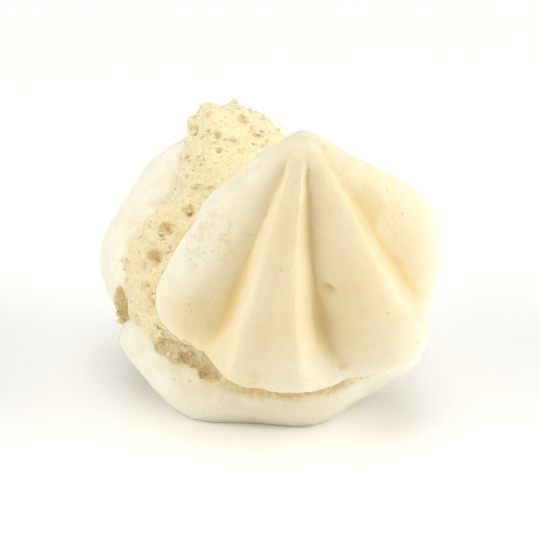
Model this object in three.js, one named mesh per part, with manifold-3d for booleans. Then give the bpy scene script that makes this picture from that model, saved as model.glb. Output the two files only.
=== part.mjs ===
// A double meringue cookie: two star-piped shells, stuck together base to base while their insides were soft.
// The upper shell is a tall kiss whose piped ridges run up to a blunt tip. The lower shell is squat and set to
// one side. The joint has opened on that side, so the soft inside shows as a torn, crumbly collar, and bites of
// the lips have broken off.
// The cookie lies on its lower shell, with the tip towards the front (-Y) and the open side at the left (-X).
//
// Millimetres and degrees, +Z up. The origin is on the table, in the middle of the flat spot that the cookie
// rests on. Azimuths are measured round the joint's axis: 0 is the front, 90 the right and -90 the left.

import * as THREE from "three";
import { ImprovedNoise } from "three/addons/math/ImprovedNoise.js";
import { mergeVertices } from "three/addons/utils/BufferGeometryUtils.js";
import Module from "manifold-3d";

// ---- How the cookie lies ----
const JOINT_TILT = 40; // lean of the joint's axis from upright, towards the front
const JOINT_CENTRE = new THREE.Vector3(1.85, 0, 19.4); // middle of the joint
const JOINT_OPENING = 7; // angle between the two bases
const OPEN_SIDE = -90; // azimuth where the bases stand furthest apart
const TABLE_SIDE = 120; // side of the block that trims the resting spot flat

// ---- The two piped shells ----
// profile: radius and height, from the middle of the base, out over the rounded lip and up to the tip.
// Each ridge has its azimuth, its bend, which swings it round most a little above half height, and its reach,
// as a share of the profile's radius. The valley between it and the next ridge has a depth, as a share of the
// radius, and a low line, from 0 at this ridge to 1 at the next, which is kept between 0.3 and 0.7.
const UPPER_SHELL = {
  profile: [
    [0, 0],
    [10, 0],
    [18.4, 0.2],
    [20.9, 2.4],
    [21.6, 6.5],
    [20.4, 12],
    [17, 18],
    [12.2, 24],
    [7.2, 29.4],
    [4.4, 32.3],
    [2.5, 34.1],
    [0, 34.8],
  ],
  ridges: [
    { azimuth: -106, bend: 3, reach: 0.72, valley: 0.14, low: 0.5 },
    { azimuth: -66, bend: -8, reach: 1, valley: 0.27, low: 0.7 },
    { azimuth: -27, bend: 4, reach: 0.96, valley: 0.045, low: 0.5 },
    { azimuth: 4, bend: -6, reach: 0.96, valley: 0.3, low: 0.3 },
    { azimuth: 54, bend: -8, reach: 1.1, valley: 0.2, low: 0.3 },
    { azimuth: 103, bend: -3, reach: 1.02, valley: 0.2, low: 0.5 },
    { azimuth: 146, bend: -6, reach: 0.72, valley: 0.18, low: 0.5 },
    { azimuth: 182, bend: 4, reach: 0.66, valley: 0.17, low: 0.5 },
    { azimuth: 216, bend: -4, reach: 0.62, valley: 0.15, low: 0.5 },
  ],
  columns: 12,
  crestRound: 0.25,
  rimDepth: 0.25,
  tipLean: new THREE.Vector2(1.2, 5),
  offset: new THREE.Vector3(4.2, 0, 0.8),
};
const LOWER_SHELL = {
  profile: [
    [0, 0],
    [11, 0],
    [15.6, -0.7],
    [20, -1],
    [23, 1.4],
    [24, 5.6],
    [23, 10],
    [19.4, 13.9],
    [13.4, 16.8],
    [7, 18.2],
    [0, 18.6],
  ],
  ridges: [
    { azimuth: -110, bend: 0, reach: 1.06, valley: 0.07, low: 0.66 },
    { azimuth: -68, bend: 0, reach: 0.96, valley: 0.02, low: 0.4 },
    { azimuth: -26, bend: 0, reach: 1, valley: 0.05, low: 0.5 },
    { azimuth: 18, bend: 0, reach: 1.02, valley: 0.06, low: 0.5 },
    { azimuth: 60, bend: 0, reach: 1.13, valley: 0.17, low: 0.5 },
    { azimuth: 104, bend: 0, reach: 0.96, valley: 0.17, low: 0.5 },
    { azimuth: 146, bend: 0, reach: 0.94, valley: 0.17, low: 0.5 },
    { azimuth: 186, bend: 0, reach: 1.2, valley: 0.03, low: 0.5 },
    { azimuth: 218, bend: 0, reach: 1.11, valley: 0.04, low: 0.5 },
  ],
  columns: 8,
  crestRound: 0.25,
  rimDepth: 0.4,
  tipLean: new THREE.Vector2(-1, 1),
  offset: new THREE.Vector3(-1, 4.2, -2.6),
};
const ROWS_PER_STRETCH = 2;
const TIP_FADE = 0.88; // how far up a shell its valleys start to run out into the tip
const BEND_RISE = 1.6; // 1 where ridges bend most at half height, and more where they do so higher up
const RIM_ROUND = 0.6; // crestRound at the lip, where a ridge is blunter
const VALLEY_ROUND = 1.5; // 1 where the valleys are creases, and 2 where they are round

// ---- Bites torn out of the shells' lips ----
// place: azimuth, radius and height of the middle, on the shell. size: length along the lip, width and depth,
// each halved. seed: draws the lumps.
const LOWER_BITES = [
  { place: [-76, 23.2, 2.2], size: [2.8, 4.4, 6.2], seed: 11 },
  { place: [-34, 18.6, -1.6], size: [5.6, 2, 1.5], seed: 23 },
];
const UPPER_BITES = [{ place: [72, 24.6, 0.6], size: [3.6, 1.9, 2.2], seed: 5 }];
const BITE_LUMPS = 1.6; // height of the lumps in a bite
const BITE_LUMP_SIZE = 3; // and their size across
const BITE_DETAIL = 4; // times that the faces of a bite are split

// ---- The torn collar between them ----
// Each swell pushes the collar out by its reach and thickens it by its rise, over its spread of azimuth.
const COLLAR = {
  radius: 16.4,
  thickness: 3.8,
  bluntness: 0.5, // 1 is a lens, and less is a disc with a squarer edge
  swells: [
    { azimuth: -88, spread: 46, reach: 5.2, rise: 4.4 },
    { azimuth: -134, spread: 44, reach: 2, rise: 3.4 },
    { azimuth: 194, spread: 39, reach: 11.4, rise: 6.6 },
    { azimuth: 112, spread: 60, reach: 5, rise: 1.2 },
  ],
  crags: 1.1, // height of its crags
  cragSize: 3, // and their size across
  columns: 84,
  rows: 14,
  offset: new THREE.Vector3(1, 1.2, 0),
};

const radians = THREE.MathUtils.degToRad;
const lerp = THREE.MathUtils.lerp;
const smoothstep = THREE.MathUtils.smoothstep;

// The share of a valley's full depth at a place across it, from 0 at its first ridge to 1 at the next.
function valleyShape(across, low, crestRound) {
  const skewed = across + ((0.5 - low) / low / (1 - low)) * across * (1 - across);
  const hollow = 1 - Math.pow(Math.abs(2 * skewed - 1), VALLEY_ROUND);
  return (Math.hypot(hollow, crestRound) - crestRound) / (Math.hypot(1, crestRound) - crestRound);
}

function direction(azimuth) {
  return new THREE.Vector3(Math.sin(radians(azimuth)), -Math.cos(radians(azimuth)), 0);
}

// A piped shell, upright on its base: a closed lathe whose wall is pressed in between its ridges.
function shellGeometry({ profile, ridges, columns, crestRound, rimDepth, tipLean }) {
  const outline = new THREE.SplineCurve(profile.map(([radius, height]) => new THREE.Vector2(radius, height)));
  const points = outline.getPoints((profile.length - 1) * ROWS_PER_STRETCH);
  const geometry = new THREE.LatheGeometry(points, ridges.length * columns);
  const position = geometry.getAttribute("position");
  const height = profile.at(-1)[1];
  for (let i = 0; i < position.count; i++) {
    const column = Math.floor(i / points.length) % (ridges.length * columns);
    const point = points[i % points.length];
    const ridge = ridges[Math.floor(column / columns)];
    const next = ridges[(Math.floor(column / columns) + 1) % ridges.length];
    const across = (column % columns) / columns;
    const rise = Math.min(Math.max(point.y / height, 0), 1);
    const bend = Math.sin(Math.PI * Math.pow(rise, BEND_RISE));
    const turn = next.azimuth > ridge.azimuth ? 0 : 360;
    const azimuth = lerp(ridge.azimuth + ridge.bend * bend, next.azimuth + next.bend * bend + turn, across);
    const low = lerp(0.5, ridge.low, smoothstep(rise, 0, 0.3));
    const round = lerp(RIM_ROUND, crestRound, smoothstep(rise, 0, 0.4));
    const full = lerp(rimDepth, 1, smoothstep(rise, 0, 0.4)) * (1 - 0.85 * smoothstep(rise, TIP_FADE, 1));
    const depth = ridge.valley * full * valleyShape(across, low, round);
    const reach = lerp(ridge.reach, next.reach, smoothstep(across, 0, 1));
    const place = direction(azimuth).multiplyScalar(point.x * reach * (1 - depth));
    const lean = Math.pow(rise, 1.3);
    position.setXYZ(i, place.x + tipLean.x * lean, place.y + tipLean.y * lean, point.y);
  }
  return geometry;
}

// A lumpy ball, upright, with its length along X.
function biteGeometry({ size, seed }) {
  const noise = new ImprovedNoise();
  const faces = new THREE.IcosahedronGeometry(1, BITE_DETAIL).getAttribute("position");
  const ball = mergeVertices(new THREE.BufferGeometry().setAttribute("position", faces));
  const position = ball.getAttribute("position");
  for (let i = 0; i < position.count; i++) {
    const out = new THREE.Vector3().fromBufferAttribute(position, i);
    const form = out.clone().multiply(new THREE.Vector3(...size));
    const spot = form.clone().divideScalar(BITE_LUMP_SIZE);
    form.addScaledVector(out, BITE_LUMPS * noise.noise(spot.x + seed, spot.y, spot.z));
    position.setXYZ(i, form.x, form.y, form.z);
  }
  return ball;
}

// How much of a swell is left at an azimuth.
function swellShare(swell, azimuth) {
  const away = Math.abs(THREE.MathUtils.euclideanModulo(azimuth - swell.azimuth + 180, 360) - 180);
  return 1 - smoothstep(away, 0, swell.spread);
}

// The collar: a lens that stands in the joint, swollen and craggy where the inside shows.
function collarGeometry({ radius, thickness, bluntness, swells, crags, cragSize, columns, rows }) {
  const noise = new ImprovedNoise();
  const points = [];
  for (let row = 0; row <= rows; row++) {
    const turn = radians(lerp(-90, 90, row / rows));
    const height = Math.sign(Math.sin(turn)) * Math.abs(Math.sin(turn)) ** bluntness;
    points.push(new THREE.Vector2(Math.abs(Math.cos(turn)) ** bluntness, height));
  }
  points[0].x = 0;
  points[rows].x = 0;
  const geometry = new THREE.LatheGeometry(points, columns);
  const position = geometry.getAttribute("position");
  for (let i = 0; i < position.count; i++) {
    const point = points[i % points.length];
    const degrees = (360 / columns) * (Math.floor(i / points.length) % columns);
    let reach = radius;
    let half = thickness;
    for (const swell of swells) {
      reach += swell.reach * swellShare(swell, degrees);
      half += swell.rise * swellShare(swell, degrees) * point.x;
    }
    const place = direction(degrees).multiplyScalar(point.x * reach).setZ(point.y * half);
    const crag = crags * point.x * noise.noise(place.x / cragSize, place.y / cragSize, place.z / cragSize);
    place.addScaledVector(direction(degrees), crag * 2);
    position.setXYZ(i, place.x, place.y, place.z + crag * point.y);
  }
  return geometry;
}

// ---- Joining ----
const wasm = await Module();
wasm.setup();

// A closed geometry as a solid, put in its place.
function solid(geometry, matrix) {
  const bare = new THREE.BufferGeometry()
    .setAttribute("position", geometry.getAttribute("position").clone())
    .setIndex(geometry.getIndex().clone())
    .applyMatrix4(matrix);
  const merged = mergeVertices(bare, 1e-3);
  const corners = merged.getIndex().array;
  const mirrored = matrix.determinant() < 0;
  const triangles = [];
  for (let i = 0; i < corners.length; i += 3) {
    const [a, b, c] = corners.slice(i, i + 3);
    const flat = a === b || b === c || c === a;
    if (!flat) triangles.push(...(mirrored ? [a, c, b] : [a, b, c]));
  }
  return new wasm.Manifold(
    new wasm.Mesh({
      numProp: 3,
      vertProperties: merged.getAttribute("position").array,
      triVerts: new Uint32Array(triangles),
    }),
  );
}

// The place of a piece in the joint, opened by an angle away from the upper shell on the open side.
function inJoint(offset, opening) {
  const hinge = new THREE.Vector3(Math.cos(radians(OPEN_SIDE)), Math.sin(radians(OPEN_SIDE)), 0);
  return new THREE.Matrix4()
    .makeTranslation(JOINT_CENTRE)
    .multiply(new THREE.Matrix4().makeRotationX(radians(JOINT_TILT)))
    .multiply(new THREE.Matrix4().makeRotationAxis(hinge, radians(opening)))
    .multiply(new THREE.Matrix4().makeTranslation(offset));
}

// A bite as a solid, at its place on a shell.
function bite({ place: [azimuth, radius, height], size, seed }, shellPlace) {
  const matrix = shellPlace
    .clone()
    .multiply(new THREE.Matrix4().setPosition(direction(azimuth).multiplyScalar(radius).setZ(height)))
    .multiply(new THREE.Matrix4().makeRotationZ(radians(azimuth)));
  return solid(biteGeometry({ size, seed }), matrix);
}

const overJoint = inJoint(UPPER_SHELL.offset, 0);
const upsideDown = new THREE.Matrix4().makeScale(1, 1, -1);
const underJoint = inJoint(LOWER_SHELL.offset, JOINT_OPENING).multiply(upsideDown);
const collar = solid(collarGeometry(COLLAR), inJoint(COLLAR.offset, JOINT_OPENING / 2));
let upper = solid(shellGeometry(UPPER_SHELL), overJoint);
for (const one of UPPER_BITES) {
  upper = upper.subtract(bite(one, overJoint));
}
let lower = solid(shellGeometry(LOWER_SHELL), underJoint).add(collar);
for (const one of LOWER_BITES) {
  lower = lower.subtract(bite(one, underJoint));
}
const table = solid(
  new THREE.BoxGeometry(TABLE_SIDE, TABLE_SIDE, TABLE_SIDE),
  new THREE.Matrix4().makeTranslation(0, 0, -TABLE_SIDE / 2),
);
const cookie = upper.add(lower).subtract(table).getMesh();

const geometry = new THREE.BufferGeometry()
  .setAttribute("position", new THREE.BufferAttribute(cookie.vertProperties, 3))
  .setIndex(new THREE.BufferAttribute(cookie.triVerts, 1));
geometry.computeVertexNormals();

const meringue = new THREE.Mesh(
  geometry,
  new THREE.MeshStandardMaterial({ color: 0xf8efcf, roughness: 0.75, metalness: 0 }),
);
meringue.name = "meringue";

const group = new THREE.Group();
group.add(meringue);
export default group;
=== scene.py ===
import math
import random
from collections import namedtuple

import bmesh
import bpy
import numpy
from mathutils import Matrix, Vector, noise
from mathutils.bvhtree import BVHTree


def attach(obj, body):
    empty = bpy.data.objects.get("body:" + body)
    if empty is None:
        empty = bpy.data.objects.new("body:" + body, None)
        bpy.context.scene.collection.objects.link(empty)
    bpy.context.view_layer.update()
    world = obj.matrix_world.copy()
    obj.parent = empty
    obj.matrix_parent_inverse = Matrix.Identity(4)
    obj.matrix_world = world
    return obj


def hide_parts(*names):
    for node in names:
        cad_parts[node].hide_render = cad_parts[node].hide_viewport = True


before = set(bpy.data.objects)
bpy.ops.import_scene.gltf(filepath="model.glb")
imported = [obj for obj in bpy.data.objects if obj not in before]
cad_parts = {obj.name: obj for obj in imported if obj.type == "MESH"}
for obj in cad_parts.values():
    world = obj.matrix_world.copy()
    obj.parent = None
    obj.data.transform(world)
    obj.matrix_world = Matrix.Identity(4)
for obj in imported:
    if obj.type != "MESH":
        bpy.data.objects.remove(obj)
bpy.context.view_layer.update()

MM = 0.001

# Shapes are drawn in millimetres and degrees.
# Azimuths run round the joint's axis: 0 is the front, 90 the right.

# ---- How the cookie lies ----
JOINT_TILT = 40  # lean of the joint's axis from upright, towards the front
JOINT_CENTRE = Vector((1.85, 0, 19.4))
JOINT_OPENING = 7  # angle between the two bases
OPEN_SIDE = -90  # azimuth where the bases stand furthest apart

# ---- The two piped shells ----
# A profile is radius and height, from the middle of the base, out over the lip and up to the tip.
# A ridge has an azimuth, a reach as a share of the radius, the depth of the valley after it, the place
# between the two ridges where that valley is lowest, and how far it swings round the shell at mid height.
Ridge = namedtuple("Ridge", "azimuth reach valley low swing")
UPPER_SHELL = dict(
    profile=[
        (0, 0),
        (10, 0),
        (18.4, 0.2),
        (20.9, 2.4),
        (21.6, 6.5),
        (20.4, 12),
        (17, 18),
        (12.2, 24),
        (7.2, 29.4),
        (4.4, 32.3),
        (2.5, 34.1),
        (0, 34.8),
    ],
    ridges=[
        Ridge(-106, 0.72, 0.14, 0.5, 3),
        Ridge(-66, 1, 0.27, 0.7, -8),
        Ridge(-27, 0.96, 0.045, 0.5, 4),
        Ridge(4, 0.96, 0.3, 0.3, -6),
        Ridge(54, 1.1, 0.2, 0.3, -8),
        Ridge(103, 1.02, 0.2, 0.5, -3),
        Ridge(146, 0.72, 0.18, 0.5, -6),
        Ridge(182, 0.66, 0.17, 0.5, 4),
        Ridge(216, 0.62, 0.15, 0.5, -4),
    ],
    columns=32,
    steps=11,
    crest_round=0.25,
    rim_depth=0.25,
    tip_lean=(1.2, 5),
    streak_radius=20.4,
    seed=Vector((31, 4, 9)),
    offset=Vector((4.2, 0, 0.8)),
)
LOWER_SHELL = dict(
    profile=[
        (0, 0),
        (11, 0),
        (15.6, -0.7),
        (20, -1),
        (23, 1.4),
        (24, 5.6),
        (23, 10),
        (19.4, 13.9),
        (13.4, 16.8),
        (7, 18.2),
        (0, 18.6),
    ],
    ridges=[
        Ridge(-110, 1.06, 0.07, 0.66, 0),
        Ridge(-68, 0.96, 0.02, 0.4, 0),
        Ridge(-26, 1, 0.05, 0.5, 0),
        Ridge(18, 1.02, 0.06, 0.5, 0),
        Ridge(60, 1.13, 0.17, 0.5, 0),
        Ridge(104, 0.96, 0.17, 0.5, 0),
        Ridge(146, 0.94, 0.17, 0.5, 0),
        Ridge(186, 1.2, 0.03, 0.5, 0),
        Ridge(218, 1.11, 0.04, 0.5, 0),
    ],
    columns=24,
    steps=9,
    crest_round=0.25,
    rim_depth=0.4,
    tip_lean=(-1, 1),
    streak_radius=24,
    seed=Vector((5, 17, 40)),
    offset=Vector((-1, 4.2, -2.6)),
)
LIP_FORM = 0.4  # share of a shell's height over which its lip's own form fades
LOW_LINE_FORM = 0.3  # share over which its valleys' lowest lines come to their place
TIP_FADE = 0.88  # share at which its valleys start to run out into the tip
TIP_CLOSING = 0.85  # how much of their depth the valleys lose at the tip
LEAN_CURVE = 1.3  # 1 where a shell leans evenly, more where it leans mostly near its tip
VALLEY_ROUND = 1.5  # 1 where the valleys are sharp creases, 2 where they are round
RIM_ROUND = 0.6  # roundness of the ridges' crests at the lip
BEND_RISE = 1.6  # 1 where the ridges swing most at half height, more where they do so higher up

# ---- The skin's relief ----
# size across, and height, of each grade of unevenness
LUMPS = [(11, 0.4), (6, 0.22), (2.4, 0.09), (1.1, 0.04)]
RAGGED_LIP = [(2.4, 0.4), (1.2, 0.28)]
LIP_HEIGHT = 3  # how far up the unevenness of a lip goes
DRAG_LINES = (0.75, 9, 0.045)  # width, length and height of the streaks that the nozzle leaves
DRAG_RADIUS = 20  # the radius of a shell at which the streaks have that width
DRAG_START = (4, 9)  # radii between which the streaks set in, on the way out from the tip
DRAG_LENGTH = 0.07  # how much the finer streaks are drawn out: 1 is not at all, and less is more
DRAG_MEETING = 9  # radius within which the finer streaks draw together towards the tip
BURRS = (0.9, 0.13)  # size and height of the roughness along a crest
BURR_NARROWNESS = 6  # more makes the rough strip along a crest narrower
BURR_RISE = (0.05, 0.3)  # shares of a shell's height over which the burrs set in
# azimuth, height, radius and depth of the burst bubbles in the upper shell
DIMPLES = [(20.8, 18, 1, 0.8), (75, 33.5, 1.3, 0.5), (22.4, 4.8, 0.8, 0.35), (-60, 17, 0.9, 0.5)]
WORN_PLACE = (-64, 20.5)  # azimuth and height of the patch that is rubbed bare on the upper shell
WORN_RADIUS = 5.5

# ---- The torn collar and the bites ----
COLLAR = dict(
    radius=16.4,
    thickness=3.8,
    bluntness=0.5,
    # azimuth, spread, reach and rise of each swell
    swells=[(-88, 46, 5.2, 4.4), (-134, 44, 2, 3.4), (194, 39, 11.4, 6.6), (112, 60, 5, 1.2)],
    crag=1,
    crag_out=2,  # how much farther the crags stand out sideways than up
    crag_size=3,
    columns=120,
    rows=40,
    offset=Vector((1, 1.2, 0)),
)
# azimuth, radius and height of the middle of a bite, its length, width and depth, and its outline's seed
LOWER_BITES = [(-76, 23.2, 2.2, 2.8, 4.4, 6.2, 11), (-34, 18.6, -1.6, 5.6, 2, 1.5, 23)]
UPPER_BITES = [(72, 24.6, 0.6, 3.6, 1.9, 2.2, 5)]
BITE_SHAPE = (3, 1.6)  # size and height of the unevenness of a bite
CRUMB_GRAIN = 0.2  # spacing of the points on the torn parts
# spacing of the bubbles, with the largest radius and the depth as shares of it
BUBBLES = [(3.4, 0.34, 1), (1.5, 0.4, 0.8), (0.7, 0.42, 0.5)]
SMALL_BUBBLE = 0.45  # the smallest radius as a share of the largest
RADIUS_DRAW = 7  # scatters the draw of the radii, so that neighbours differ
BUBBLE_PATCH = 5  # size of the patches that are more or less open
OPENNESS = (0.45, 1.2)  # depth of the bubbles in the closest and in the most open patches, as shares
OPENNESS_NOISE = (-0.25, 0.3)  # noise at which a patch is closest, and at which it is most open
GRIT = (0.9, 0.14)  # size and height of the roughness between the bubbles
# middle and radius of the largest hollows in the torn face
HOLLOWS = [
    ((-9.2, 3.9, 29.3), 1.1),
    ((-12.5, 1.5, 27.6), 1.5),
    ((-14.2, -2.2, 24.6), 1.3),
    ((-8.8, 13.1, 38.5), 1.1),
    ((-1.4, 13.4, 40.2), 1),
]
HOLLOW_EDGE = (1.2, 0.5)  # size and height of the unevenness of a hollow's edge
TORN = 1  # the faces marked with this number are torn

# ---- Crumbs ----
CRUMBS = 170
CRUMB_SIZES = (0.2, 0.65)  # smallest and largest radius
SMALL_CRUMBS = 2.5  # 1 gives as many large crumbs as small ones, and more gives fewer large ones
CRUMB_LUMPS = (1.3, 0.55)  # how many lumps a crumb's radius has, and their height as a share of it
CRUMB_VARIETY = 99  # how far apart in the noise the crumbs may take their lumps from
CRUMB_WIDTHS = (0.6, 1)  # narrowest and widest, as shares of a crumb's length
CRUMB_HEIGHTS = (0.5, 0.9)  # flattest and tallest, as shares too
CRUMB_LIFT = 0.45  # how far a crumb's middle stands off the surface, as a share of its radius
CRUMB_SEED = 7

# ---- What the finish is told about each point of the surface ----
TORN_SOFTNESS = 3  # how many points the edge of the torn parts fades over
WELL_TORN = 0.6  # points marked above this are well inside a torn part
RELIEF_REACH = 24  # how many points away the level is taken from, in telling hollows from crests
FOLD_REACH = 200  # and in telling folds from open faces
CREASE_SHADOW_REACH = (3, 4.2)  # distances from the upper shell over which the painted shadow in the crease below it fades
DEEP_VALLEY = 0.2  # valleys of this depth and more have the full depth of colour, which is painted shade
VALLEY_SHADE_START = (0, 0.3)  # shares of a shell's height over which that painted shade sets in
VALLEY_SHADE_END = (0.75, 0.95)  # and shares over which it fades again
LOWER_VALLEY_SHADE = 0.4  # how strongly the painted shade darkens the lower shell's valleys
PATCH_CORE = 0.4  # how far out from its middle a patch is even, as a share of its radius
# middle, radius and strength of the warmer patches: those toasted most by the oven, and, round the crease
# at the lower left under the upper shell's rim, painted shade
BROWNED_AND_SHADED = [
    ((13, -19, 30), 24, 0.49),
    ((7.8, -19.4, 49.4), 8, 0.2),
    ((-6, -15, 16), 14, 0.4),
    ((-14, -1, 24), 14, 0.22),
    ((0, -12, 5), 16, 0.16),
    ((16.1, -17.2, 37.8), 5, 0.3),
    ((-8.4, -14.8, 19.4), 5.5, 0.18),
    ((15.7, -21.6, 25.7), 6, 0.14),
]

# ---- Finish: colours as a colour picker gives them ----
SKIN_PALE = (251, 246, 227)
SKIN_WARM = (234, 210, 153)
SKIN_START = 0.06  # how far the skin is turned from pale to warm all over
# and how much farther by each of these
SKIN_SHARES = dict(
    # painted shade: the valleys darker
    valley=0.1,
    # toasted by the oven, and painted shade round the lower left crease
    browned_and_shaded=1,
    mottle=0.1,
    # painted shade in the wider folds
    fold=0.15,
    # painted shadow: a line along the crease under the upper shell's lip
    crease=1,
    rubbed=0.2,
    # painted shade in the small hollows
    hollow=0.3,
    # painted shade inside the pinholes
    pinhole=0.3,
    speck=0.6,
    # painted light: the small crests paler
    crest=-0.1,
)
CRUMB_PALE = (252, 240, 204)
CRUMB_DEEP = (240, 216, 160)
CRUMB_START = 0.08  # how far the torn foam is turned from pale to deep all over
# in the torn foam: hollow is painted shade in the pits, the warmer patches are toasting and painted shade
# as on the skin, and crumbling is the foam's own tone
CRUMB_SHARES = dict(hollow=0.6, browned_and_shaded=0.7, crumbling=0.4)
FAINT_CREASE_SHADOW = 0.35  # strength of the crease's painted shadow line where it is faintest
# size, detail and roughness of each kind of unevenness in the finish
NOISES = dict(
    speck=(0.4, 4, 0.8),
    mottle=(7, 3, 0.5),
    tatter=(0.8, 3, 0.6),
    rubbing=(1.4, 3, 0.6),
    crumbling=(0.9, 4, 0.7),
    grain=(1.4, 4, 0.65),
    dust=(0.18, 3, 0.7),
)
STREAK_NOISE = (0.5, 3, 0.6)
NOISE_MEAN = 0.5
# the value at which each mark begins, and the one at which it is full
ONSETS = dict(
    # tatter breaks up the crease's painted shadow
    tatter=(0.4, 0.6),
    mottle=(0.35, 0.65),
    rubbing=(0.45, 0.58),
    crumbling=(0.35, 0.7),
    # fold and hollow set in painted shade, and crest sets in painted light
    fold=(0.1, 1.2),
    hollow=(0, 0.35),
    crest=(0, 0.3),
    pore=(0.1, 0.6),
)
PORE_SPACING = 0.42
PINHOLE_SPACING = 2.2
PINHOLE_RARITY = 0.5  # the share of the places that have no pinhole
PINHOLE_RADIUS = 0.11  # the largest, as a share of the spacing
PINHOLE_EDGE = 0.03  # how far their edges fade, as a share too
# heights of the finest relief
SKIN_BUMPS = dict(speck=0.1, grain=0.22, streak=0.09, pinhole=-0.12)
FOAM_BUMPS = dict(pore=0.13, dust=0.1)
SKIN_ROUGHNESS = 0.75
TORN_ROUGHNESS = 0.9
SHINE = 0.25
GLOW = 0.45  # the share of the light that goes into the foam and out again
GLOW_DEPTH = 1.5
GLOW_COLOUR = (1, 0.75, 0.45)
TABLE_WHITE = (252, 251, 248)
TABLE_ROUGHNESS = 0.55
TABLE_GLOW = 0.05  # how brightly the table is lit from below

# ---- Table, light and camera, in metres ----
TABLE_SIZE = 3
ROOM_LIGHT = 0.06
LIGHT_DISTANCE = 2.2
LIGHT_SIZE = 1.9
# azimuth, elevation, and about how bright each makes a white surface that faces it
LIGHTS = {
    "left_light": (-70, 26, 0.54),
    "right_light": (75, 25, 0.71),
    "top_light": (0, 70, 0.43),
    "back_light": (180, 70, 0.29),
}
VIEW_ELEVATION = 22
VIEW_DISTANCE = 1.3
VIEW_WIDTH = 0.08
VIEW_TARGET = Vector((0.0027, 0, 0.0215))


def lerp(a, b, share):
    return a + (b - a) * share


def smoothstep(value, low, high):
    share = min(max((value - low) / (high - low), 0), 1)
    return share * share * (3 - 2 * share)


def facing(azimuth):
    """The level direction of an azimuth."""
    return Vector((math.sin(math.radians(azimuth)), -math.cos(math.radians(azimuth)), 0))


def azimuth_of(place):
    return math.degrees(math.atan2(place.x, -place.y))


def turn_between(azimuth, other):
    """How far an azimuth lies past another one, the short way round."""
    return (azimuth - other + 180) % 360 - 180


def patch(distance, radius):
    """The strength of a patch at a distance from its middle: 1, fading to 0 at its radius."""
    return 1 - smoothstep(distance, PATCH_CORE * radius, radius)


def in_joint(offset, opening):
    """The place of a piece in the joint, turned away from the upper shell on the open side."""
    hinge = facing(OPEN_SIDE + 90)
    return (
        Matrix.Translation(JOINT_CENTRE)
        @ Matrix.Rotation(math.radians(JOINT_TILT), 4, "X")
        @ Matrix.Rotation(math.radians(opening), 4, hinge)
        @ Matrix.Translation(offset)
    )


UPPER_PLACE = in_joint(UPPER_SHELL["offset"], 0)
LOWER_PLACE = in_joint(LOWER_SHELL["offset"], JOINT_OPENING) @ Matrix.Diagonal((1, 1, -1, 1))
COLLAR_PLACE = in_joint(COLLAR["offset"], JOINT_OPENING / 2)


# ---------------------------------------------------------------- shapes


def smooth_profile(knots, steps):
    """Points on a curve that runs smoothly through a few knots."""
    ends = [knots[0], *knots, knots[-1]]
    points = []
    for before, start, end, after in zip(ends, ends[1:], ends[2:], ends[3:]):
        before, start, end, after = (Vector(knot) for knot in (before, start, end, after))
        leave = (end - before) / 2
        arrive = (after - start) / 2
        for step in range(steps):
            t = step / steps
            bend = (start * 2 - end * 2 + leave + arrive) * t + (end * 3 - start * 3 - leave * 2 - arrive)
            points.append((bend * t + leave) * t + start)
    return [*points, Vector(knots[-1])]


def turned(profile, columns):
    """A closed shape turned about the upright axis from a profile that starts and ends on it."""
    bm = bmesh.new()
    line = [bm.verts.new((radius, 0, height)) for radius, height in profile]
    edges = [bm.edges.new(pair) for pair in zip(line, line[1:])]
    bmesh.ops.spin(
        bm, geom=line + edges, cent=(0, 0, 0), axis=(0, 0, 1), angle=math.tau, steps=columns, use_merge=True
    )
    bmesh.ops.remove_doubles(bm, verts=bm.verts, dist=1e-4)
    bmesh.ops.recalc_face_normals(bm, faces=bm.faces)
    return bm


def valley_shape(across, low, crest_round):
    """The share of a valley's full depth, from its first ridge at 0 to the next at 1."""
    skewed = across + (0.5 - low) / low / (1 - low) * across * (1 - across)
    hollow = 1 - abs(2 * skewed - 1) ** VALLEY_ROUND
    return (math.hypot(hollow, crest_round) - crest_round) / (math.hypot(1, crest_round) - crest_round)


def ridge_azimuth(ridge, rise):
    return ridge.azimuth + ridge.swing * math.sin(math.pi * min(rise, 1) ** BEND_RISE)


def lean(shell, rise):
    """How far a shell leans aside at a share of its height."""
    return Vector((*shell["tip_lean"], 0)) * rise**LEAN_CURVE


def ridge_pair(shell, turn):
    """The ridge before a place round the shell, the one after it, and the share of the way between them."""
    ridges = shell["ridges"]
    place = turn % 1 * len(ridges)
    index = min(int(place), len(ridges) - 1)
    return ridges[index], ridges[(index + 1) % len(ridges)], place - index


def pipe_ridges(bm, shell):
    """Press the valleys between the ridges into a turned shell, and lean its tip."""
    height = shell["profile"][-1][1]
    for vert in bm.verts:
        ridge, after, across = ridge_pair(shell, math.atan2(vert.co.y, vert.co.x) / math.tau)
        rise = max(vert.co.z / height, 0)
        start = ridge_azimuth(ridge, rise)
        azimuth = start + across * ((ridge_azimuth(after, rise) - start) % 360)
        above_lip = smoothstep(rise, 0, LIP_FORM)
        full = lerp(shell["rim_depth"], 1, above_lip) * (1 - TIP_CLOSING * smoothstep(rise, TIP_FADE, 1))
        roundness = lerp(RIM_ROUND, shell["crest_round"], above_lip)
        low = lerp(0.5, ridge.low, smoothstep(rise, 0, LOW_LINE_FORM))
        depth = ridge.valley * full * valley_shape(across, low, roundness)
        reach = lerp(ridge.reach, after.reach, smoothstep(across, 0, 1))
        radius = math.hypot(vert.co.x, vert.co.y) * reach * (1 - depth)
        vert.co = facing(azimuth) * radius + lean(shell, rise) + Vector((0, 0, vert.co.z))


def upright(shell, point):
    """How far up a shell a point lies, from 0 to 1, and its place with the shell's lean taken out."""
    rise = min(max(point.z / shell["profile"][-1][1], 0), 1)
    return rise, point - lean(shell, rise)


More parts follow.
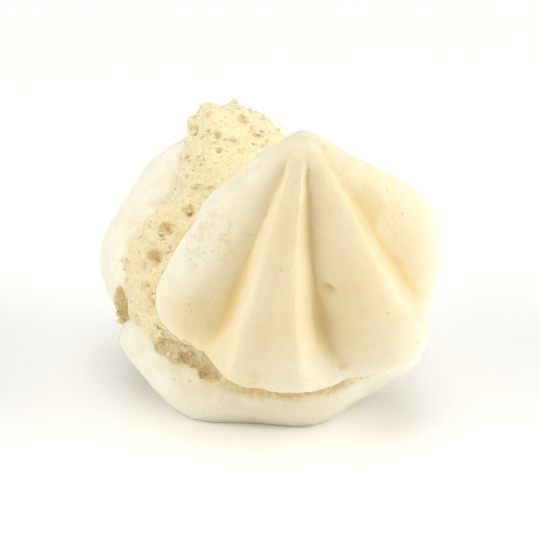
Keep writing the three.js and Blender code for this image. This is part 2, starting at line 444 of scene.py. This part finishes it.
def on_shell(shell, point):
    """Where a point lies on a shell: its azimuth, its rise, and how deep in a valley it is, from 0 to 1."""
    rise, level = upright(shell, point)
    azimuth = azimuth_of(level)
    ridges = shell["ridges"]
    for ridge, after in zip(ridges, ridges[1:] + ridges[:1]):
        start = ridge_azimuth(ridge, rise)
        span = (ridge_azimuth(after, rise) - start) % 360
        along = (azimuth - start) % 360
        if along < span:
            share = min(ridge.valley / DEEP_VALLEY, 1)
            return azimuth, rise, share * valley_shape(along / span, ridge.low, shell["crest_round"])
    return azimuth, rise, 0


def away_from(shell, point, azimuth, height):
    """How far a point lies from an azimuth and a height on a shell, along its surface."""
    level = upright(shell, point)[1]
    turn = turn_between(azimuth_of(level), azimuth)
    return math.hypot(math.radians(turn) * math.hypot(level.x, level.y), point.z - height)


def uneven(point, grades):
    """The height of several grades of unevenness at a point."""
    return sum(height * noise.noise(point / size) for size, height in grades)


def skin_relief(shell, point):
    """How far the baked skin stands out from the piped form at a point."""
    azimuth, rise, valley = on_shell(shell, point)
    shifted = point + shell["seed"]
    relief = uneven(shifted, LUMPS)
    width, length, height = DRAG_LINES
    arc = math.radians(azimuth) * DRAG_RADIUS
    height *= smoothstep(math.hypot(point.x, point.y), *DRAG_START)
    relief += height * noise.noise(Vector((arc / width, point.z / length, shell["seed"].x)))
    size, height = BURRS
    height *= (1 - valley) ** BURR_NARROWNESS
    relief += height * noise.noise(shifted / size) * smoothstep(rise, *BURR_RISE)
    relief += uneven(shifted, RAGGED_LIP) * (1 - smoothstep(point.z, 0, LIP_HEIGHT))
    if shell is UPPER_SHELL:
        for centre, height, radius, depth in DIMPLES:
            relief -= depth * (1 - smoothstep(away_from(shell, point, centre, height), 0, radius))
    return relief


def piped_shell(shell, place):
    """A shell with its ridges and its skin, at its place in the cookie."""
    bm = turned(smooth_profile(shell["profile"], shell["steps"]), shell["columns"] * len(shell["ridges"]))
    pipe_ridges(bm, shell)
    bm.normal_update()
    moves = [(vert, vert.normal * skin_relief(shell, vert.co)) for vert in bm.verts]
    for vert, move in moves:
        vert.co += move
    bmesh.ops.transform(bm, matrix=place, verts=bm.verts)
    bmesh.ops.recalc_face_normals(bm, faces=bm.faces)
    return bm


def swell_share(azimuth, centre, spread):
    return 1 - smoothstep(abs(turn_between(azimuth, centre)), 0, spread)


def torn_collar():
    """The foam between the shells: a blunt disc with swells, and a craggy edge."""
    blunt = COLLAR["bluntness"]
    turns = [math.pi * (row / COLLAR["rows"] - 0.5) for row in range(COLLAR["rows"] + 1)]
    profile = [
        (abs(math.cos(turn)) ** blunt, math.copysign(abs(math.sin(turn)) ** blunt, turn)) for turn in turns
    ]
    profile[0] = (0, -1)
    profile[-1] = (0, 1)
    bm = turned(profile, COLLAR["columns"])
    for vert in bm.verts:
        share = math.hypot(vert.co.x, vert.co.y)
        azimuth = azimuth_of(vert.co)
        reach = COLLAR["radius"]
        half = COLLAR["thickness"]
        for centre, spread, swell, rise in COLLAR["swells"]:
            reach += swell * swell_share(azimuth, centre, spread)
            half += rise * swell_share(azimuth, centre, spread) * share
        out = facing(azimuth)
        place = out * share * reach + Vector((0, 0, vert.co.z * half))
        crag = COLLAR["crag"] * share * noise.noise(place / COLLAR["crag_size"])
        vert.co = place + out * crag * COLLAR["crag_out"] + Vector((0, 0, crag * vert.co.z))
    bmesh.ops.transform(bm, matrix=COLLAR_PLACE, verts=bm.verts)
    return bm


def torn_bite(place, azimuth, radius, height, length, width, depth, seed):
    """An uneven lump to take out of a shell's lip, where a piece of it has broken off."""
    bm = bmesh.new()
    bmesh.ops.create_icosphere(bm, subdivisions=4, radius=1)
    size, swell = BITE_SHAPE
    for vert in bm.verts:
        form = vert.co * Vector((length, width, depth))
        vert.co = form + vert.co * swell * noise.noise(form / size + Vector((seed, 0, 0)))
    centre = facing(azimuth) * radius + Vector((0, 0, height))
    turn = Matrix.Rotation(math.radians(azimuth), 4, "Z")
    bmesh.ops.transform(bm, matrix=place @ Matrix.Translation(centre) @ turn, verts=bm.verts)
    bmesh.ops.recalc_face_normals(bm, faces=bm.faces)
    return bm


def bubble_depth(point):
    """How deep the cut bubbles of the foam go in at a point, as cells of several sizes."""
    depth = 0
    openness = lerp(*OPENNESS, smoothstep(noise.noise(point / BUBBLE_PATCH), *OPENNESS_NOISE))
    for spacing, largest, share in BUBBLES:
        distances, centres = noise.voronoi(point / spacing)
        radius = largest * lerp(SMALL_BUBBLE, 1, noise.cell(centres[0] * RADIUS_DRAW))
        inside = radius * radius - distances[0] * distances[0]
        if inside > 0:
            depth = max(depth, spacing * share * openness * math.sqrt(inside))
    size, height = HOLLOW_EDGE
    for centre, radius in HOLLOWS:
        inside = radius - (point - Vector(centre)).length + height * noise.noise(point / size)
        if inside > 0:
            depth += math.sqrt(inside * radius)
    return depth


def tear(bm):
    """Open the foam's bubbles in a torn surface, and roughen what is left between them."""
    bm.normal_update()
    size, height = GRIT
    moves = []
    for vert in bm.verts:
        rough = uneven(vert.co, [(size, height), (size / 2, height / 2)])
        moves.append((vert, vert.normal * (rough - bubble_depth(vert.co))))
    for vert, move in moves:
        vert.co += move


def as_object(name, bm, scale=1):
    bmesh.ops.scale(bm, vec=(scale, scale, scale), verts=bm.verts)
    mesh = bpy.data.meshes.new(name)
    bm.to_mesh(mesh)
    bm.free()
    piece = bpy.data.objects.new(name, mesh)
    bpy.context.scene.collection.objects.link(piece)
    return piece


def apply_modifiers(piece):
    evaluated = piece.evaluated_get(bpy.context.evaluated_depsgraph_get())
    mesh = bpy.data.meshes.new_from_object(evaluated)
    piece.modifiers.clear()
    piece.data = mesh


def as_form(piece):
    """The form of a piece, without the piece."""
    bm = bmesh.new()
    bm.from_mesh(piece.data)
    bpy.data.objects.remove(piece)
    return bm


def regrained(bm, name):
    """The same form with its points evenly spread, fine enough for the torn foam."""
    piece = as_object(name, bm)
    remesh = piece.modifiers.new("grain", "REMESH")
    remesh.mode = "VOXEL"
    remesh.voxel_size = CRUMB_GRAIN
    apply_modifiers(piece)
    return as_form(piece)


def combine(base, other, operation):
    join = base.modifiers.new("join", "BOOLEAN")
    join.operation = operation
    join.solver = "MANIFOLD"
    join.object = other
    apply_modifiers(base)
    bpy.data.objects.remove(other)


def mark_torn(bm):
    for face in bm.faces:
        face.material_index = TORN


def as_part(name, bm):
    """One of the forms that are joined, with room for the skin's and the torn foam's marks."""
    part = as_object(name, bm)
    part.data.materials.append(None)
    part.data.materials.append(None)
    return part


def torn_part(name, bm):
    tear(bm)
    mark_torn(bm)
    return as_part(name, bm)


def bake_cookie():
    """The whole cookie, and the upper shell's form to tell how near to it a place is."""
    upper_form = piped_shell(UPPER_SHELL, UPPER_PLACE)
    upper_reach = BVHTree.FromBMesh(upper_form)
    upper = as_part("upper_shell", upper_form)
    lower = as_part("lower_shell", piped_shell(LOWER_SHELL, LOWER_PLACE))
    combine(lower, torn_part("collar", regrained(torn_collar(), "collar_form")), "UNION")
    for shell, place, bites in ((lower, LOWER_PLACE, LOWER_BITES), (upper, UPPER_PLACE, UPPER_BITES)):
        for bite in bites:
            combine(shell, torn_part("bite", regrained(torn_bite(place, *bite), "bite_form")), "DIFFERENCE")
    combine(upper, lower, "UNION")
    return upper, upper_reach


def laid_on_table(bm):
    """The same form with what would go through the table pressed flat onto it."""
    for vert in bm.verts:
        vert.co.z = max(vert.co.z, 0)
    bm.normal_update()
    return bm


def spread(values, edges, rounds):
    """Soften a value at each point towards its neighbours' mean."""
    count = numpy.bincount(edges.ravel(), minlength=len(values))
    for _ in range(rounds):
        total = numpy.bincount(edges[:, 0], values[edges[:, 1]], len(values))
        total += numpy.bincount(edges[:, 1], values[edges[:, 0]], len(values))
        values = (values + total / numpy.maximum(count, 1)) / 2
    return values


def mark(mesh, name, values):
    mesh.attributes.new(name, "FLOAT", "POINT").data.foreach_set("value", values)


def relief_of(mesh, edges, reach):
    """How far each point stands out from the surface round it, and in from it where negative."""
    places = numpy.array([vert.co[:] for vert in mesh.vertices])
    normals = numpy.array([vert.normal[:] for vert in mesh.vertices])
    level = numpy.stack([spread(column, edges, reach) for column in places.T], axis=1)
    return ((places - level) * normals).sum(axis=1)


# the warmer patches: toasting by the oven, and painted shade round the lower left crease
def browning_and_shade(point):
    return sum(
        strength * patch((point - Vector(middle)).length, radius) for middle, radius, strength in BROWNED_AND_SHADED
    )


def mark_surface(mesh, upper_reach):
    """Store what the finish is told about each point of the cookie."""
    torn = numpy.zeros(len(mesh.vertices))
    for face in mesh.polygons:
        if face.material_index == TORN:
            torn[list(face.vertices)] = 1
    edges = numpy.array([edge.vertices[:] for edge in mesh.edges])
    mark(mesh, "torn", spread(torn, edges, TORN_SOFTNESS))
    mark(mesh, "relief", relief_of(mesh, edges, RELIEF_REACH))
    mark(mesh, "fold", relief_of(mesh, edges, FOLD_REACH))
    to_upper = UPPER_PLACE.inverted()
    to_lower = LOWER_PLACE.inverted()
    marks = {name: [] for name in ("valley", "browned_and_shaded", "crease", "worn")}
    streaks = []
    for vert in mesh.vertices:
        shell, local = UPPER_SHELL, to_upper @ vert.co
        upper = local.z > 0
        if not upper:
            shell, local = LOWER_SHELL, to_lower @ vert.co
        azimuth, rise, valley = on_shell(shell, local)
        # painted shade in the valleys, fading out at the lip and at the tip
        seen = smoothstep(rise, *VALLEY_SHADE_START) * (1 - smoothstep(rise, *VALLEY_SHADE_END))
        marks["valley"].append(valley * seen * (1 if upper else LOWER_VALLEY_SHADE))
        # toasting, and painted shade round the lower left crease
        marks["browned_and_shaded"].append(browning_and_shade(vert.co))
        # painted shadow: the lower shell darker where it runs close under the upper shell
        gap = upper_reach.find_nearest(vert.co)[3]
        marks["crease"].append(0 if upper else 1 - smoothstep(gap, *CREASE_SHADOW_REACH))
        marks["worn"].append(patch(away_from(shell, local, *WORN_PLACE), WORN_RADIUS) if upper else 0)
        radius = shell["streak_radius"] * smoothstep(math.hypot(local.x, local.y), 0, DRAG_MEETING)
        streaks.extend(facing(azimuth) * radius + Vector((0, 0, local.z * DRAG_LENGTH)))
    for name, values in marks.items():
        mark(mesh, name, values)
    mesh.attributes.new("streak", "FLOAT_VECTOR", "POINT").data.foreach_set("vector", streaks)


# ---------------------------------------------------------------- crumbs


def crumbs(mesh):
    """Loose crumbs of the torn inside, caught in the collar and the crease."""
    draw = random.Random(CRUMB_SEED)
    torn = mesh.attributes["torn"].data
    off_table = [vert for vert in mesh.vertices if vert.co.z > CRUMB_SIZES[1]]
    places = [vert for vert in off_table if torn[vert.index].value > WELL_TORN]
    lumps, lump_height = CRUMB_LUMPS
    bm = bmesh.new()
    for vert in draw.sample(places, CRUMBS):
        size = lerp(*CRUMB_SIZES, draw.random() ** SMALL_CRUMBS)
        made = bmesh.ops.create_icosphere(bm, subdivisions=2, radius=size)["verts"]
        shift = Vector((draw.uniform(-CRUMB_VARIETY, CRUMB_VARIETY), 0, 0))
        for point in made:
            point.co *= 1 + lump_height * noise.noise(point.co / size * lumps + shift)
        squash = Matrix.Diagonal((1, draw.uniform(*CRUMB_WIDTHS), draw.uniform(*CRUMB_HEIGHTS), 1))
        turn = Matrix.Rotation(draw.uniform(0, math.tau), 4, (draw.random(), draw.random(), 1))
        place = Matrix.Translation(vert.co + vert.normal * size * CRUMB_LIFT) @ turn @ squash
        bmesh.ops.transform(bm, matrix=place, verts=made)
    return bm


# ---------------------------------------------------------------- finish


class Wire:
    """A value on its way through a material, on which arithmetic adds Math nodes."""

    def __init__(self, finish, socket):
        self.finish = finish
        self.socket = socket

    def __add__(self, other):
        return self.finish.maths("ADD", self, other)

    def __sub__(self, other):
        return self.finish.maths("SUBTRACT", self, other)

    def __rsub__(self, other):
        return self.finish.maths("SUBTRACT", other, self)

    def __mul__(self, other):
        return self.finish.maths("MULTIPLY", self, other)

    __radd__ = __add__
    __rmul__ = __mul__


class Finish:
    """A material being made, with its nodes."""

    def __init__(self, name):
        self.material = bpy.data.materials.new(name)
        self.material.use_nodes = True
        self.tree = self.material.node_tree
        self.shader = self.tree.nodes["Principled BSDF"]

    def node(self, kind, settings, sockets, out=0):
        """Add a node: its settings first, then the values or wires of its sockets."""
        node = self.tree.nodes.new(kind)
        for name, value in settings.items():
            setattr(node, name, value)
        for name, value in sockets.items():
            self.connect(node.inputs[name], value)
        return Wire(self, node.outputs[out])

    def connect(self, socket, value):
        if isinstance(value, Wire):
            self.tree.links.new(value.socket, socket)
        else:
            socket.default_value = value

    def set(self, **sockets):
        for name, value in sockets.items():
            self.connect(self.shader.inputs[name.replace("_", " ")], value)

    def maths(self, operation, first, second):
        return self.node("ShaderNodeMath", {"operation": operation}, {0: first, 1: second})

    def attribute(self, name, out="Fac"):
        return self.node("ShaderNodeAttribute", {"attribute_name": name}, {}, out)

    def in_millimetres(self):
        place = self.node("ShaderNodeTexCoord", {}, {}, "Object")
        return self.node("ShaderNodeVectorMath", {"operation": "SCALE"}, {0: place, "Scale": 1 / MM})

    def noise(self, place, size, detail, roughness):
        sockets = {"Vector": place, "Scale": 1 / size, "Detail": detail, "Roughness": roughness}
        return self.node("ShaderNodeTexNoise", {}, sockets)

    def cells(self, place, size, out="Distance"):
        return self.node("ShaderNodeTexVoronoi", {}, {"Vector": place, "Scale": 1 / size}, out)

    def remap(self, value, low, high, to_low=0, to_high=1):
        sockets = {0: value, 1: low, 2: high, 3: to_low, 4: to_high}
        return self.node("ShaderNodeMapRange", {"interpolation_type": "SMOOTHSTEP"}, sockets)

    def blend(self, share, first, second):
        # The node has sockets for several kinds of value: 6, 7 and 2 are those for colours.
        return self.node("ShaderNodeMix", {"data_type": "RGBA"}, {0: share, 6: first, 7: second}, 2)

    def bump(self, height):
        return self.node("ShaderNodeBump", {}, {"Strength": 1, "Distance": MM, "Height": height})


def colour(red, green, blue):
    """A shader colour from the values of a colour picker."""

    def linear(value):
        share = value / 255
        return share / 12.92 if share <= 0.04045 else ((share + 0.055) / 1.055) ** 2.4

    return (linear(red), linear(green), linear(blue), 1)


def mixed(parts, shares, start=0):
    """The sum of some parts, each by its own share, on top of what there is at first."""
    return sum((parts[name] * share for name, share in shares.items()), start)


def baked_meringue():
    finish = Finish("baked_meringue")
    place = finish.in_millimetres()
    torn = finish.attribute("torn")
    relief = finish.attribute("relief")
    noises = {name: finish.noise(place, *sizes) for name, sizes in NOISES.items()}
    measures = dict(
        noises,
        # painted shade in folds and hollows, and painted light on crests
        fold=finish.attribute("fold") * -1,
        hollow=relief * -1,
        crest=relief,
        pore=finish.cells(place, PORE_SPACING),
    )
    onsets = {name: finish.remap(measures[name], *ends) for name, ends in ONSETS.items()}
    cell_colour = finish.cells(place, PINHOLE_SPACING, "Color")
    cell_draw = finish.node("ShaderNodeSeparateColor", {}, {0: cell_colour})
    hole_radius = finish.remap(cell_draw, PINHOLE_RARITY, 1, 0, PINHOLE_RADIUS)
    into_hole = hole_radius - finish.cells(place, PINHOLE_SPACING)
    marks = dict(
        onsets,
        # painted shade in the valleys
        valley=finish.attribute("valley"),
        # toasting, and painted shade round the lower left crease
        browned_and_shaded=finish.attribute("browned_and_shaded"),
        # the crease's painted shadow, broken up by the tatter noise
        crease=finish.attribute("crease") * lerp(FAINT_CREASE_SHADOW, 1, onsets["tatter"]),
        rubbed=finish.attribute("worn") * onsets["rubbing"],
        # the pinholes dent the bump, and their colour is darkened as painted shade
        pinhole=finish.remap(into_hole, -PINHOLE_EDGE, PINHOLE_EDGE),
        speck=noises["speck"] - NOISE_MEAN,
    )
    # the skin's own tone, together with its painted shade and painted light
    warmth = mixed(marks, SKIN_SHARES, SKIN_START)
    skin = finish.blend(warmth, colour(*SKIN_PALE), colour(*SKIN_WARM))
    crumb_depth = mixed(marks, CRUMB_SHARES, CRUMB_START)
    crumb = finish.blend(crumb_depth, colour(*CRUMB_PALE), colour(*CRUMB_DEEP))
    finish.set(Base_Color=finish.blend(torn, skin, crumb))

    skin_bumps = dict(
        speck=noises["speck"],
        grain=noises["grain"],
        streak=finish.noise(finish.attribute("streak", "Vector"), *STREAK_NOISE),
        pinhole=marks["pinhole"],
    )
    foam_bumps = dict(pore=onsets["pore"], dust=noises["dust"])
    bare = finish.maths("MAXIMUM", torn, marks["rubbed"])
    height = mixed(skin_bumps, SKIN_BUMPS) * (1 - bare) + mixed(foam_bumps, FOAM_BUMPS) * bare
    finish.set(Roughness=lerp(SKIN_ROUGHNESS, TORN_ROUGHNESS, torn), Normal=finish.bump(height))
    finish.set(Specular_IOR_Level=SHINE, Subsurface_Weight=GLOW)
    finish.set(Subsurface_Scale=GLOW_DEPTH * MM, Subsurface_Radius=GLOW_COLOUR)
    return finish.material


# ---------------------------------------------------------------- the table, the light and the camera


def table_top():
    bm = bmesh.new()
    bmesh.ops.create_grid(bm, x_segments=1, y_segments=1, size=TABLE_SIZE / MM)
    table = as_object("table_top", bm, MM)
    finish = Finish("white_table")
    finish.set(Base_Color=colour(*TABLE_WHITE), Roughness=TABLE_ROUGHNESS)
    finish.set(Emission_Color=(1, 1, 1, 1), Emission_Strength=TABLE_GLOW)
    table.data.materials.append(finish.material)


def soft_box(name, azimuth, elevation, strength):
    """A round soft light that shines on the cookie from one direction."""
    light = bpy.data.lights.new(name, "AREA")
    light.shape = "DISK"
    light.size = LIGHT_SIZE
    light.energy = strength * (math.pi * LIGHT_DISTANCE) ** 2
    lamp = bpy.data.objects.new(name, light)
    rise = math.radians(elevation)
    way = facing(azimuth) * math.cos(rise) + Vector((0, 0, math.sin(rise)))
    lamp.location = way * LIGHT_DISTANCE
    lamp.rotation_euler = way.to_track_quat("Z", "Y").to_euler()
    bpy.context.scene.collection.objects.link(lamp)


def white_room():
    world = bpy.data.worlds.new("white_room")
    world.use_nodes = True
    background = world.node_tree.nodes["Background"].inputs
    background["Color"].default_value = (1, 1, 1, 1)
    background["Strength"].default_value = ROOM_LIGHT
    bpy.context.scene.world = world
    bpy.context.scene.view_settings.view_transform = "Standard"


def camera():
    lens = bpy.data.cameras.new("camera")
    lens.lens = lens.sensor_width * VIEW_DISTANCE / VIEW_WIDTH
    eye = bpy.data.objects.new("camera", lens)
    tilt = math.radians(VIEW_ELEVATION)
    eye.location = VIEW_TARGET + Vector((0, -math.cos(tilt), math.sin(tilt))) * VIEW_DISTANCE
    eye.rotation_euler = (math.pi / 2 - tilt, 0, 0)
    bpy.context.scene.collection.objects.link(eye)
    bpy.context.scene.camera = eye


# ---------------------------------------------------------------- the scene

camera()
white_room()
table_top()
for name, light in LIGHTS.items():
    soft_box(name, *light)

baked, upper_reach = bake_cookie()
cookie = as_object("meringue_cookie", laid_on_table(as_form(baked)))
mark_surface(cookie.data, upper_reach)
loose = as_object("crumbs", crumbs(cookie.data))
mark(loose.data, "torn", [1] * len(loose.data.vertices))
meringue = baked_meringue()
for piece in (cookie, loose):
    piece.data.materials.clear()
    piece.data.materials.append(meringue)
    piece.data.polygons.foreach_set("material_index", [0] * len(piece.data.polygons))
    piece.data.shade_smooth()
    piece.data.transform(Matrix.Scale(MM, 4))
    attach(piece, "root")
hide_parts("meringue")
